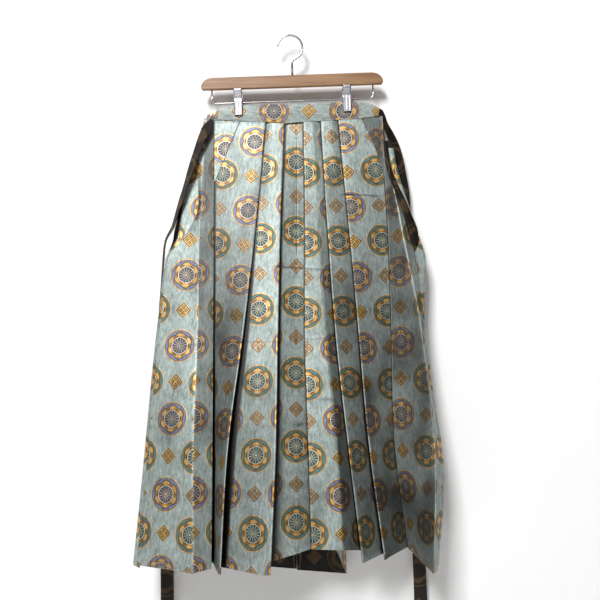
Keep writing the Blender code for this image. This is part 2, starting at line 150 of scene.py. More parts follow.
Side = namedtuple("Side", "front_x front_depth outer_x outer_depth inset sink")
SIDE_HEIGHTS = (-0.158, -0.258, -0.342, -0.395, -0.434, -0.535, -0.66, -0.83, -0.997)
SIDES_MM = {
    "right": Side(
        (-166, -177, -177, -204, -232, -242, -252, -263, -276),
        (6.2, 12, 19, 24, 28, 39, 59, 89, 115),
        (-160, -190, -209, -219, -238, -250, -261, -273, -287),
        (-1, 3, 10, 16, 22, 33, 49, 74, 95),
        (10, 17, 17, 12, 6, 6, 6, 6, 6),
        (5, 6, 8, 4, 0, 0, 0, 0, 0),
    ),
    "left": Side(
        (181, 187, 217, 230, 242, 252, 262, 280, 265),
        (6.2, 14, 22, 28, 32, 45, 68, 104, 135),
        (192, 210, 235, 252, 263, 259, 269, 288, 273),
        (-1, 6, 12, 18, 26, 37, 56, 85, 110),
        (-7, -12, -17, -20, 4, 6, 6, 6, 6),
        (5, 6, 7, 6, 1, 0, 0, 0, 0),
    ),
}

Back = namedtuple("Back", "pleat_x hem_side hem_under hem_pleat hem_centre")
BACKS_MM = {
    "right": Back((-45, -80), 999, 1028, 1034, 1042),
    "left": Back((74, 112), 995, 1000, 1051, 1044),
}
BACK_DEPTH = -0.004
BACK_TUCK = 0.022

BAND_X_MM = (-160, -147, -108, -68, -46, -10, 27, 61, 95, 133, 160, 174)
BAND_BOTTOM_MM = (-160, -162, -166, -168, -169, -171, -168, -166, -164, -162, -158, -156)
BAND_TOP_MM = (-156, -150, -135, -135, -134, -133, -132, -131, -130, -129, -133, -142)

# Each tie: its width, the height above which it is hidden, whether it narrows to its
# start, and its route as x, depth, z and twist, in millimetres and degrees.
Tie = namedtuple("Tie", "width hidden_above_mm narrows points")
TIES = {
    "front_tie_right": Tie(0.026, -162.5, True, (
        (-147, 9.2, -157, 0), (-153, 13, -170, 16), (-161, 16, -187, 34),
        (-170, 18, -206, 46), (-179, 17, -229, 53), (-188, 15, -253, 57),
        (-202, 12, -297, 63), (-209, 11, -320, 60), (-217, 10, -342, 68),
        (-226, 8, -372, 68), (-241, 4, -400, 73), (-246, 0, -440, 73),
        (-250, -5, -485, 74), (-252, -12, -545, 58), (-250, -16, -620, 28),
        (-247, -17, -720, 0), (-244, -17, -860, 0), (-242, -17, -1000, 0),
        (-241, -17, -1090, 0), (-241, -17, -1172, 0))),
    "front_tie_left": Tie(0.026, 0, True, (
        (161, -1.6, -147, 0), (171, -5, -150, 20), (180, -9, -157, 58),
        (189, -12, -172, 76), (199, -13, -191, 70), (208, -14, -216, 54),
        (215, -16, -240, 52), (220, -17.5, -266, 52), (226, -18.5, -305, 46),
        (227, -18.5, -370, 26), (230, -18, -470, 8), (238, -18, -620, 0),
        (246, -18, -780, 0), (252, -18, -940, 0), (257, -18, -1060, 0),
        (260, -18, -1172, 0))),
    "back_tie_right": Tie(0.028, 0, False, (
        (-157, -9.4, -203, 0), (-168, -9.6, -225, 0), (-178, -9.8, -262, 0),
        (-186, -10, -300, -8), (-196, -10, -326, -25), (-207, -9, -345, -45),
        (-212, -7, -362, -60), (-217.5, -4, -380, -68), (-220.5, -4, -400, -68),
        (-227, -5, -420, -66), (-234, -8, -440, -58), (-233, -12, -470, -35),
        (-224, -15, -520, 0), (-209, -15, -650, 0), (-201, -15, -780, 0),
        (-198, -15, -900, 0))),
    "back_tie_left": Tie(0.028, 0, False, (
        (184, -9.4, -203, 0), (192, -9.8, -240, 0), (197, -11, -300, 0),
        (199, -14, -380, 0), (200, -15, -500, 0), (197, -15, -640, 0),
        (194, -15, -780, 0), (192, -15, -900, 0))),
}

# The slanting layers beside the outer pleats, under the waistband: their slanting
# edge, the edge that is hidden, the wheel in blue on each, and its painted shade.
Flap = namedtuple("Flap", "top bottom slant_x border_x wheel_x wheel_z squeeze shade")
FLAP_HEIGHTS = (-0.168, -0.220, -0.284)
FLAPS = {
    "right": Flap(-0.1655, -0.284, (-0.0968, -0.1175, -0.1440), (-0.1462, -0.1462, -0.1460),
                  -0.1238, -0.2215, 1.0, 0.05),
    "left": Flap(-0.1655, -0.280, (0.1410, 0.1655, 0.1880), (0.1795, 0.1835, 0.1900),
                 0.1680, -0.2100, 1.5, 0.60),
}

# Lines left by folding the trousers away: height, depth of the trough, tilt, and
# from where to where they run.
Crease = namedtuple("Crease", "height size tilt low high")
STORAGE_CREASES = (
    Crease(-0.306, 0.0014, -0.04, 0.095, 0.205), Crease(-0.452, 0.0011, -0.05, -0.03, 0.09),
    Crease(-0.590, 0.0006, 0.04, -0.25, 0.26), Crease(-0.705, 0.0014, 0.08, 0.040, 0.100),
    Crease(-0.746, 0.0016, 0.02, -0.01, 0.070), Crease(-0.770, 0.0010, -0.10, 0.10, 0.20),
    Crease(-0.872, 0.0007, 0.05, -0.25, 0.26), Crease(-0.965, 0.0012, 0.30, -0.28, -0.18),
)
CREASE_WIDTH = 0.0028
DEEP_CREASE = 0.001       # from this size on, a crease also gets a painted dark line of shade


# ---------------------------------------------------------------- shape helpers

def mix(a, b, share):
    return a + (b - a) * share


def smooth_step(value):
    value = min(max(value, 0.0), 1.0)
    return value * value * (3.0 - 2.0 * value)


def between(value, heights, numbers):
    """Read a smooth curve through numbers given at falling heights."""
    last = len(heights) - 1
    if value >= heights[0]:
        return numbers[0]
    if value <= heights[last]:
        return numbers[last]
    i = next(k for k in range(last) if heights[k + 1] <= value)
    span = heights[i + 1] - heights[i]
    share = (value - heights[i]) / span

    def slope(k):
        low = max(k - 1, 0)
        high = min(k + 1, last)
        return (numbers[high] - numbers[low]) / (heights[high] - heights[low]) * span

    square = share * share
    cube = square * share
    return ((2 * cube - 3 * square + 1) * numbers[i] + (cube - 2 * square + share) * slope(i)
            + (3 * square - 2 * cube) * numbers[i + 1] + (cube - square) * slope(i + 1))


def along(x, xs, numbers):
    """Read a table in millimetres along rising x, straight from row to row."""
    x = min(max(x / MM, xs[0]), xs[-1])
    i = next(k for k in range(len(xs) - 1) if x <= xs[k + 1])
    share = (x - xs[i]) / (xs[i + 1] - xs[i])
    return MM * (numbers[i] + share * (numbers[i + 1] - numbers[i]))


def waist_z(x):
    return along(x, BAND_X_MM, BAND_BOTTOM_MM)


def fan_at(z):
    return between(z, FOLD_HEIGHTS, FAN)


# ---------------------------------------------------------------- sections of the legs

# One knot of a section: its place, how widely the cloth bends there, and whether it
# is a fold of the table.
Knot = namedtuple("Knot", "x depth z bend is_fold", defaults=(False,))


def fold_place(fold, z):
    """Give a fold's place in a level section: x and depth."""
    x = MM * between(z, FOLD_HEIGHTS, fold.x_mm)
    return Vector((x, MM * mix(fold.waist_depth_mm, fold.depth_mm, fan_at(z))))


def side_place(side, z, x_name, depth_name):
    row = SIDES_MM[side]
    x = MM * between(z, SIDE_HEIGHTS, getattr(row, x_name))
    return Vector((x, MM * between(z, SIDE_HEIGHTS, getattr(row, depth_name))))


def front_section(side, share):
    """Knots across a front panel, from its side edge to the centre seam."""
    folds = FOLDS[side]
    way = WAY[side]
    line = []

    def height(x, hem_mm):
        return mix(waist_z(x) - WAIST_GAP, -MM * hem_mm, share)

    def add(place, hem_mm, bend, is_fold=False):
        line.append(Knot(place.x, place.y, height(place.x, hem_mm), bend, is_fold))

    z = height(MM * folds[0].x_mm[0], folds[0].hem_mm)
    previous = side_place(side, z, "front_x", "front_depth")
    add(previous, folds[0].hem_mm, 0.0)
    for fold, next_fold in zip(folds, folds[1:] + folds[-1:]):
        z = height(MM * fold.x_mm[0], fold.hem_mm)
        fan = fan_at(z)
        place = fold_place(fold, z)
        if fold.drop_mm == 0:
            add(place, fold.hem_mm, FOLD_BEND, True)
            previous = place
            continue
        add(place, fold.hem_mm, LAYER, True)
        tuck = MM * mix(*fold.tuck_mm, fan)
        heading = (place - previous).normalized()
        turned = place + Vector((heading.y, -heading.x)) * way * LAYER
        drop = max(MM * fold.drop_mm * fan, 2 * LAYER)
        under = place - Vector((0.0, drop))
        following = fold_place(next_fold, z)
        run = following - under
        onward = Vector((way, 0.0)).lerp(run.normalized(), fan).normalized()
        hidden = under - onward * tuck
        hidden_turned = hidden + Vector((-onward.y, onward.x)) * way * LAYER
        add(turned, fold.hem_mm, LAYER)
        add(hidden_turned, fold.hem_mm, LAYER)
        add(hidden, fold.hem_mm, LAYER)
        hem_mm = mix(fold.hem_mm, next_fold.hem_mm, 0.3)
        add(under, hem_mm, FOLD_BEND)
        previous = under
        if next_fold.drop_mm > 0:
            room = MM * mix(*next_fold.tuck_mm, fan) + KNEE_ROOM
            straight = following - run * min(room / run.length, 0.75)
            raised = Vector((straight.x, following.y))
            knee = raised.lerp(straight, min(1.0, 3 * fan))
            if MM * abs(next_fold.x_mm[0] - fold.x_mm[0]) > WIDE_STRIP:
                add(under.lerp(knee, 0.5), hem_mm, BROAD_BEND)
            add(knee, hem_mm, KNEE_BEND)
            previous = knee
    return line


def depth_on(knots, x):
    """Depth of the lowest layer of a section at a sideways place."""
    found = []
    for a, b in zip(knots, knots[1:]):
        if min(a.x, b.x) <= x <= max(a.x, b.x) and a.x != b.x:
            found.append(mix(a.depth, b.depth, (x - a.x) / (b.x - a.x)))
    return min(found)


def back_section(side, share):
    """Knots across a back panel, from under the front's side edge to the centre."""
    row = BACKS_MM[side]
    way = WAY[side]
    top = BOARD_BOTTOM - SEAM_GAP
    z_side, z_under, z_pleat, z_centre = (mix(top, -MM * hem_mm, share) for hem_mm in row[1:])
    front = side_place(side, z_side, "front_x", "front_depth")
    inner = side_place(side, z_side, "inset", "sink")
    outer = side_place(side, z_side, "outer_x", "outer_depth")
    start_x = front.x + way * inner.x
    spread = 0.5 * (outer.y - BACK_DEPTH)
    corner_x = outer.x + way * (0.010 + 0.5 * spread)
    turn_x = outer.x + way * 0.2 * spread
    pleat_x = MM * mix(row.pleat_x[0], row.pleat_x[1], share)
    hidden_x = pleat_x + way * BACK_TUCK
    lift = BACK_DEPTH - LAYER * 2 - 0.003 * share
    return [
        Knot(start_x, front.y - LAP - inner.y, z_side, 0.0),
        Knot(outer.x, outer.y, z_side, 0.006),
        Knot(turn_x, mix(outer.y, BACK_DEPTH, 0.55), z_side, KNEE_BEND),
        Knot(corner_x, BACK_DEPTH, mix(z_side, z_under, 0.2), BROAD_BEND),
        Knot(mix(corner_x, pleat_x, 0.5), BACK_DEPTH, mix(z_side, z_under, 0.6), BROAD_BEND),
        Knot(hidden_x, BACK_DEPTH, z_under, LAYER),
        Knot(hidden_x, BACK_DEPTH - LAYER, z_under, LAYER),
        Knot(pleat_x, mix(lift, BACK_DEPTH, 0.5), z_pleat, LAYER),
        Knot(pleat_x, lift, z_pleat, LAYER),
        Knot(mix(pleat_x, CENTRE_X, 0.5), lift, mix(z_pleat, z_centre, 0.5), BROAD_BEND),
        Knot(CENTRE_X - way * SEAM_GAP / 2, lift, z_centre, 0.0),
    ]


def gusset_section(side, share):
    """Knots across a gusset, from the front's centre seam to the back's."""
    way = WAY[side]
    level = mix(CROTCH, 1.0, share)
    x = CENTRE_X - way * GUSSET_SPREAD
    front = front_section(side, level)
    back = back_section(side, level)
    front_depth = depth_on(front, x) - 2 * LAP
    back_depth = back[-1].depth + LAP
    bow = -way * 0.002 * share
    return [
        Knot(x + bow * math.sin(math.pi * s), mix(front_depth, back_depth, s),
             mix(front[-1].z, back[-1].z, s), 0.008)
        for s in (0.0, 0.25, 0.5, 0.75, 1.0)
    ]


# ---------------------------------------------------------------- sheets

def station_plan(knots):
    """Say how many stations each straight run and each bend of a section gets."""
    runs = []
    for a, b in zip(knots, knots[1:]):
        length = (Vector(a[:3]) - Vector(b[:3])).length
        runs.append(max(2, round(length / STATION_PITCH)))
    bends = [0] + [3 if knot.bend <= LAYER else 6 for knot in knots[1:-1]] + [0]
    return runs, bends


def stations(knots, plan):
    """Places along one section, with a rounded bend at each knot.

    Each entry is a place and the number of its run. Every row of a sheet has as
    many of them, so the rows can be joined into a grid.
    """
    runs, bends = plan
    places = [Vector(knot[:3]) for knot in knots]
    cuts = []
    for i, knot in enumerate(knots):
        if i == 0 or i == len(knots) - 1:
            cuts.append((places[i], places[i]))
            continue
        before = places[i - 1] - places[i]
        after = places[i + 1] - places[i]
        start = places[i] + before * min(knot.bend / max(before.length, 1e-6), 0.49)
        end = places[i] + after * min(knot.bend / max(after.length, 1e-6), 0.49)
        cuts.append((start, end))
    out = []
    for i, count in enumerate(runs):
        start = cuts[i][1]
        end = cuts[i + 1][0]
        for k in range(count + 1):
            out.append((start.lerp(end, k / count), i))
        if i + 1 < len(runs):
            bend = bends[i + 1]
            for k in range(1, bend):
                s = k / bend
                first = cuts[i + 1][0].lerp(places[i + 1], s)
                second = places[i + 1].lerp(cuts[i + 1][1], s)
                out.append((first.lerp(second, s), i if s < 0.5 else i + 1))
    return out


def grain_map(rows, first, last, ref, grain):
    """Figure coordinates of the stations from first to last of every row.

    The warp runs along the fold at station ref. What comes back is, for each row,
    (across, along) in metres of flat cloth.
    """
    table = []
    down = 0.0
    for j, row in enumerate(rows):
        here = row[ref]
        above = rows[max(j - 1, 0)][ref]
        below = rows[min(j + 1, len(rows) - 1)][ref]
        down += (here - above).length
        warp = (below - above).normalized()
        side_step = warp.cross(Vector((0.0, 1.0, 0.0))).normalized()
        way = 1.0 if row[last].x > row[first].x else -1.0
        warp = (warp + side_step * (grain.drift * way)).normalized()
        lengths = {ref: 0.0}
        for i in range(ref + 1, last + 1):
            lengths[i] = lengths[i - 1] + (row[i] - row[i - 1]).length
        for i in range(ref - 1, first - 1, -1):
            lengths[i] = lengths[i + 1] - (row[i + 1] - row[i]).length
        line = []
        for i in range(first, last + 1):
            length = lengths[i]
            offset = (row[i] - here).dot(warp)
            offset = max(-abs(length), min(abs(length), offset))
            flat = math.copysign(math.sqrt(length * length - offset * offset), length)
            across = flat - MM * grain.column_mm - grain.drift * down
            line.append((across, down + offset - MM * grain.phase_mm))
        table.append(line)
    return table


def crease_at(crease, x, z):
    """Where a place lies across a crease, and how strong the crease is there."""
    wander = noise.noise(Vector((x * 14.0, crease.height * 50.0, 0.0))) * 0.003
    gap = (z - crease.height - crease.tilt * x - wander) / CREASE_WIDTH
    if abs(gap) > 3.0:
        return gap, 0.0
    reach = smooth_step((x - crease.low) / 0.015) * smooth_step((crease.high - x) / 0.015)
    strength = max(0.0, 0.7 + noise.noise(Vector((x * 8.0, crease.height * 90.0, 5.0))))
    return gap, strength * reach


def crease_shade(x, z):
    """Painted shade: a dark line in the deeper creases."""
    dark = 0.0
    for crease in STORAGE_CREASES:
        if crease.size > DEEP_CREASE:
            gap, strength = crease_at(crease, x, z)
            dark = max(dark, min(1.3 * strength, DEEPEST_SHADE) * math.exp(-4.0 * gap * gap))
    return dark


def hang(place):
    """The slow swells and the storage creases that all layers of the front share."""
    x, depth, z = place
    low = smooth_step((-0.19 - z) / 0.5)
    swell = noise.noise(Vector((x * 9.0, 3.1, z * 3.2))) * 0.0035 * low
    fine = noise.noise(Vector((x * 30.0, 7.7, z * 11.0))) * 0.0009 * (0.3 + low)
    trough = 0.0
    for crease in STORAGE_CREASES:
        gap, strength = crease_at(crease, x, z)
        trough += crease.size * strength * gap * math.exp(-gap * gap)
    sway = noise.noise(Vector((x * 5.0, 1.3, z * 2.4))) * 0.002 * low
    return Vector((x + sway, depth + swell + fine + trough, z))


def hang_share(place, share):
    """Part of the shared swell, for cloth that starts at the front and runs back."""
    return place.lerp(hang(place), share)


def open_grid(columns, levels):
    """A level grid whose vertices run along one row after the other."""
    bm = bmesh.new()
    bmesh.ops.create_grid(bm, x_segments=columns, y_segments=levels, size=0.5)
    bm.verts.ensure_lookup_table()
    return bm


def lay_out(levels, cells, place):
    """Rows of places, and of the marks that go with them.

    place gives both from the shares of the way down and across.
    """
    grid = [[place(j / levels, i / cells) for i in range(cells + 1)] for j in range(levels + 1)]
    return [[spot for spot, _ in row] for row in grid], [[mark for _, mark in row] for row in grid]


def add_wall(piece, thickness):
    wall = piece.modifiers.new("wall", "SOLIDIFY")
    wall.thickness = thickness
    wall.offset = 0.0
    return wall


def make_sheet(name, rows, strips, materials, flip, thickness=CLOTH, tuck=0.0):
    """A sheet through rows of places, with figure coordinates and two faces.

    strips is a list of (first, last, table) with tables from grain_map, and tuck
    is painted shade towards black, as in the dark of a pleat, at each place or all over.
    """
    across = len(rows[0])
    bm = open_grid(across - 1, len(rows) - 1)
    # The tuck attribute carries painted shade, which the face of the cloth blends towards black.
    painted_shade_layer = bm.verts.layers.float.new("tuck")
    for j, row in enumerate(rows):
        for i, (x, depth, z) in enumerate(row):
            vertex = bm.verts[j * across + i]
            vertex.co = (x, -depth, z)
            vertex[painted_shade_layer] = tuck[j][i] if isinstance(tuck, list) else tuck
    owner = [number for number, (first, last, _) in enumerate(strips) for _ in range(first, last)]
    layer = bm.loops.layers.uv.new("cloth")
    for face in bm.faces:
        j, i = divmod(min(v.index for v in face.verts), across)
        first, _, table = strips[owner[i]]
        for loop in face.loops:
            row, column = divmod(loop.vert.index, across)
            loop[layer].uv = table[row][column - first]
    if flip:
        bmesh.ops.reverse_faces(bm, faces=bm.faces)
    for edge in bm.edges:
        edge.smooth = not edge.is_boundary
    piece = link_mesh(name, bm, materials)
    wall = add_wall(piece, thickness)
    wall.use_even_offset = True
    wall.use_quality_normals = True
    wall.material_offset = 1
    wall.material_offset_rim = 0
    return piece


def link_mesh(name, bm, materials):
    mesh = bpy.data.meshes.new(name)
    bm.to_mesh(mesh)
    bm.free()
    mesh.shade_smooth()
    for material in materials:
        mesh.materials.append(material)
    piece = bpy.data.objects.new(name, mesh)
    bpy.context.scene.collection.objects.link(piece)
    return piece


def settle(piece, slot, *nodes):
    """Ride on the one body and stand for CAD nodes. slot is not used."""
    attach(piece, "root")
    if nodes:
        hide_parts(*nodes)
    return piece


def flat_area(rows):
    """Area of a sheet through rows of places."""
    total = 0.0
    for above, below in zip(rows, rows[1:]):
        for i in range(len(above) - 1):
            diagonal = below[i + 1] - above[i]
            other = below[i] - above[i + 1]
            total += 0.5 * diagonal.cross(other).length
    return total


def row_shares(count):
    """Even shares of the way down, and more of them where the creases lie."""
    top = 0.166
    drop = 0.82
    crease_step = 0.0014
    least = 0.0013
    shares = {round(j / (count - 1), 5) for j in range(count)}
    for crease in STORAGE_CREASES:
        middle = top + crease.height + crease.tilt * 0.5 * (crease.low + crease.high)
        for step in range(-4, 5):
            shares.add(round((step * crease_step - middle) / drop, 5))
    kept = [0.0]
    for share in sorted(share for share in shares if 0.0 < share < 1.0):
        if share - kept[-1] > least and 1.0 - share > least:
            kept.append(share)
    return kept + [1.0]


def panel_rows(section, side, shares):
    """Rows of places down a panel, and the knot run of each station."""
    plan = station_plan(section(side, 1.0))
    rows = [stations(section(side, share), plan) for share in shares]
    return [[place for place, _ in row] for row in rows], [run for _, run in rows[-1]]


def station_of_knot(number, runs):
    """The first station that belongs to a knot's run, or the last of all."""
    return next((k for k, run in enumerate(runs) if run >= number), len(runs) - 1)


def shade_strip(row, line, first, edge, shade):
    """Paint shade on a strip that turns away, in clouds, up to its edge, which stays unshaded as a
    painted highlight.
    """
    for i in range(first, edge - 1):
        cloud = 1.0 + 0.5 * noise.noise(row[i] * 14.0)
        wave = noise.noise(Vector((row[i].x * 30.0, 2.0, row[i].z * 11.0)))
        dark = shade * cloud + 0.5 * max(0.0, wave - 0.1)
        line[i] = max(line[i], min(dark, DEEPEST_SHADE))
    # The fold's edge is left out of the painted shade: a painted highlight along it.
    line[edge - 1] = line[edge] = 0.0


def shade_tuck(row, line, edge, under, width):
    """Paint shade on what lies behind a fold, and as far past it as that painted shade reaches."""
    for i in range(edge + 3, len(row)):
        beyond = abs(row[i].x - row[edge].x)
        if i > under and beyond > width + PAINTED_TUCK_FADE:
            break
        dark = 1.0 - smooth_step((beyond - width) / PAINTED_TUCK_FADE)
        line[i] = max(line[i], 1.0 if i <= under else dark)


def painted_shade_table(side, rows, runs, fold_knots):
    """Painted shade at each place of a front panel: in its pleats, on its strips and in its deeper
    creases.
    """
    table = [[0.0] * len(runs) for _ in rows]
    first = 0
    for fold, widths, shades, knot in zip(FOLDS[side], PAINTED_TUCK_SHADE_MM[side], PAINTED_STRIP_SHADES[side], fold_knots):
        edge = station_of_knot(knot, runs)
        under = station_of_knot(knot + 4, runs)
        for row, line in zip(rows, table):
            z = row[edge].z
            shade_strip(row, line, first, edge, between(z, FOLD_HEIGHTS, shades))
            if fold.drop_mm > 0:
                shade_tuck(row, line, edge, under, MM * between(z, FOLD_HEIGHTS, widths))
        first = under if fold.drop_mm > 0 else edge + 1
    for row, line in zip(rows, table):
        for i, place in enumerate(row):
            line[i] = max(line[i], crease_shade(place.x, place.z))
        if side == "right":
            stitched = smooth_step((SEAM_ENDS[0] - row[-1].z) / SEAM_FADE)
            stitched *= smooth_step((row[-1].z - SEAM_ENDS[1]) / SEAM_FADE)
            line[-1] = max(line[-1], SEAM_SHADE * stitched)
    return table


def lay_strips(rows, runs, marks):
    """The strips of a panel and their figure coordinates.

    marks has, for each, the knot at its end, the knot that its figures follow and
    their grain.
    """
    strips = []
    first = 0
    for end_knot, ref_knot, grain in marks:
        last = station_of_knot(end_knot, runs)
        ref = station_of_knot(ref_knot, runs)
        strips.append((first, last, grain_map(rows, first, last, ref, grain)))
        first = last
    return strips


def make_front(side, materials):
    """One front panel with its pleats, its figures running along each fold.

    It gives back its rows and the two ends of its third strip, on which a flap lies.
    """
    fold_knots = [i for i, knot in enumerate(front_section(side, 1.0)) if knot.is_fold]
    shares = row_shares(round(FRONT_LENGTH / ROW_PITCH) + 1)
    rows, runs = panel_rows(front_section, side, shares)
    marks = [(knot + 3 if fold.drop_mm > 0 else knot, knot, grain)
             for fold, knot, grain in zip(FOLDS[side], fold_knots, GRAINS[side]) if grain]
    strips = lay_strips(rows, runs, marks)
    shaped = [[hang(place) for place in row] for row in rows]
    piece = make_sheet(f"front_{side}_cloth", shaped, strips, materials, side == "right",
                       tuck=painted_shade_table(side, rows, runs, fold_knots))
    settle(piece, "brocade", f"front_{side}_leg")
    flat_area(shaped) / FRONT_LENGTH
    return shaped, strips[2][0], strips[2][1]


def depth_at(rows, first, last, x, z):
    """Depth of a shaped panel at a place of one of its strips."""
    middle = (first + last) // 2
    j = next((k for k in range(1, len(rows)) if rows[k][middle].z <= z), len(rows) - 1)
    row = rows[j]
    for i in range(first, last):
        if min(row[i].x, row[i + 1].x) <= x <= max(row[i].x, row[i + 1].x):
            share = (x - row[i].x) / (row[i + 1].x - row[i].x)
            return mix(row[i].y, row[i + 1].y, share)
    nearest = min(range(first, last + 1), key=lambda i: abs(row[i].x - x))
    return row[nearest].y


def make_flap(side, shaped, first, last, materials):
    """The slanting layer at the top of a side, sewn down under the waistband."""
    flap = FLAPS[side]
    length = flap.top - flap.bottom
    cells = 18
    lift = 0.0011

    def place(down, across):
        level = mix(flap.top, flap.bottom, down)
        slant = between(level, FLAP_HEIGHTS, flap.slant_x)
        border = between(level, FLAP_HEIGHTS, flap.border_x)
        x = mix(border, slant, across)
        z = mix(waist_z(x) - WAIST_GAP, flap.bottom, down)
        return (Vector((x, depth_at(shaped, first, last, x, z) + lift, z)),
                ((x - flap.wheel_x) * flap.squeeze + REPEAT[0] / 2,
                 flap.wheel_z - z + REPEAT[1] / 2))

    rows, table = lay_out(40, cells, place)
    # Painted shade over the flap, darkest along its slanting edge.
    tuck = [[flap.shade] * cells + [SLANT_SHADE] for _ in rows]
    piece = make_sheet(f"flap_{side}_cloth", rows, [(0, cells, table)], materials,
                       side == "right", 0.0005, tuck)
    settle(piece, "brocade")
    flat_area(rows) / length


def make_plain_panel(name, node, side, section, levels, marks, turn_knot, materials, flip,
                     tuck=0.0):
    """A panel that shares the front's swell less and less as far as turn_knot.

    marks is as for lay_strips. The piece and its area come back.
    """
    rows, runs = panel_rows(section, side, [j / levels for j in range(levels + 1)])
    strips = lay_strips(rows, runs, marks)
    turn = station_of_knot(turn_knot, runs)
    shaped = [[hang_share(place, 1.0 - smooth_step(i / turn)) for i, place in enumerate(row)]
              for row in rows]
    piece = make_sheet(name, shaped, strips, materials, flip, tuck=tuck)
    settle(piece, "brocade", node)
    return piece, flat_area(shaped)


def make_back(side, materials):
    """One back panel, turned round the side, with its pleat."""
    marks = ((6, 1, Grain(12, 46, 0)), (10, 10, Grain(-34, 52, 0)))
    piece, area = make_plain_panel(f"back_{side}_cloth", f"back_{side}_leg", side, back_section,
                                   190, marks, 3, materials, side == "left")


def make_gusset(side, materials):
    """The piece between the legs, darkened all over with painted shade."""
    marks = ((4, 0, Grain(20, 30, 0)),)
    piece, area = make_plain_panel(f"gusset_{side}_cloth", f"gusset_{side}", side, gusset_section,
                                   59, marks, 4, materials, side == "right", tuck=1.0)


# ---------------------------------------------------------------- materials

def feed(node, values):
    """Link a socket, by name or number, to another, or set it to a number or colour."""
    for label, value in values.items():
        socket = node.inputs[label]
        if isinstance(value, bpy.types.NodeSocket):
            node.id_data.links.new(value, socket)
        elif isinstance(value, tuple) and socket.type == "RGBA":
            socket.default_value = (*value, 1.0)
        else:
            socket.default_value = value


def add_node(tree, kind, values=None, **settings):
    """The outputs of a new node with these settings and sockets."""
    node = tree.nodes.new("ShaderNode" + kind)
    for name, value in settings.items():
        setattr(node, name, value)
    feed(node, values or {})
    return node.outputs


def number(tree, operation, *values):
    """A Math node on sockets or numbers."""
    return add_node(tree, "Math", dict(enumerate(values)), operation=operation)[0]


def blend_colour(tree, share, a, b):
    """A colour Mix node on sockets or colours."""
    return add_node(tree, "Mix", {0: share, 6: a, 7: b}, data_type="RGBA")[2]


def band_mask(tree, value, low=-9.0, high=99.0, soft=0.35):
    """1 between low and high, with soft edges. Left out, a limit is past all values."""
    rise, fall = (
        add_node(tree, "MapRange", {"Value": value, "From Min": limit - way * soft / 2,
                                    "From Max": limit + way * soft / 2})[0]
        for limit, way in ((low, 1), (high, -1)))
    return number(tree, "MULTIPLY", rise, fall)


def add_cloud(tree, place, scale, detail=2.0, distortion=0.0, stretch=(1.0, 1.0, 1.0), turn=0.0):
    """Noise at a place, which is stretched and turned first."""
    mapped = add_node(tree, "Mapping", {"Vector": place, "Scale": stretch,
                                        "Rotation": (0.0, 0.0, turn)})[0]
    return add_node(tree, "TexNoise", {"Vector": mapped, "Scale": scale, "Detail": detail,
                                       "Distortion": distortion})[0]


def darken(tree, colour, shade, low, high):
    """Multiply a colour by a value spread between low and high."""
    factor = number(tree, "MULTIPLY_ADD", shade, high - low, low)
    return add_node(tree, "VectorMath", {0: colour, "Scale": factor}, operation="SCALE")[0]


def relief(tree, height, strength, distance):
    return add_node(tree, "Bump", {"Height": height, "Strength": strength,
                                   "Distance": distance})[0]


def open_group(name, outputs):
    """A shader group that reads the cloth's coordinates and has these outputs."""
    tree = bpy.data.node_groups.new(name, "ShaderNodeTree")
    tree.interface.new_socket(name="Cloth", in_out="INPUT", socket_type="NodeSocketVector")
    for label, kind in outputs.items():
        tree.interface.new_socket(name=label, in_out="OUTPUT", socket_type="NodeSocket" + kind)
    source = tree.nodes.new("NodeGroupInput")
    return tree, source.outputs["Cloth"], tree.nodes.new("NodeGroupOutput")


def open_material(name):
    material = bpy.data.materials.new(name)
    material.use_nodes = True
    tree = material.node_tree
    return material, tree, tree.nodes["Principled BSDF"]


SATIN_ROUGHNESS = 0.50
SATIN_GLOSS = 0.42

PALETTE = {
    "ground": (0.275, 0.325, 0.310),
    "gold": (0.35, 0.185, 0.045),
    "pale_gold": (0.53, 0.34, 0.12),
    "bronze": (0.17, 0.068, 0.014),
    "outline": (0.030, 0.042, 0.040),
    "lozenge_line": (0.055, 0.030, 0.010),
    "pale_teal": (0.39, 0.39, 0.29),
    "pale_rose": (0.38, 0.34, 0.26),
    "white": (0.60, 0.61, 0.53),
    "teal": (0.080, 0.165, 0.150),
    "blue": (0.145, 0.175, 0.275),
    "dark_teal": (0.045, 0.070, 0.065),
    "dark_blue": (0.060, 0.055, 0.070),
    "rose": (0.37, 0.30, 0.19),
    "rust": (0.13, 0.056, 0.020),
    # Near black, the colour that the painted shade of the tuck attribute blends towards.
    "tuck": (0.006, 0.005, 0.004),
    "reverse": (0.013, 0.010, 0.008),
    "reverse_float": (0.075, 0.045, 0.020),
}


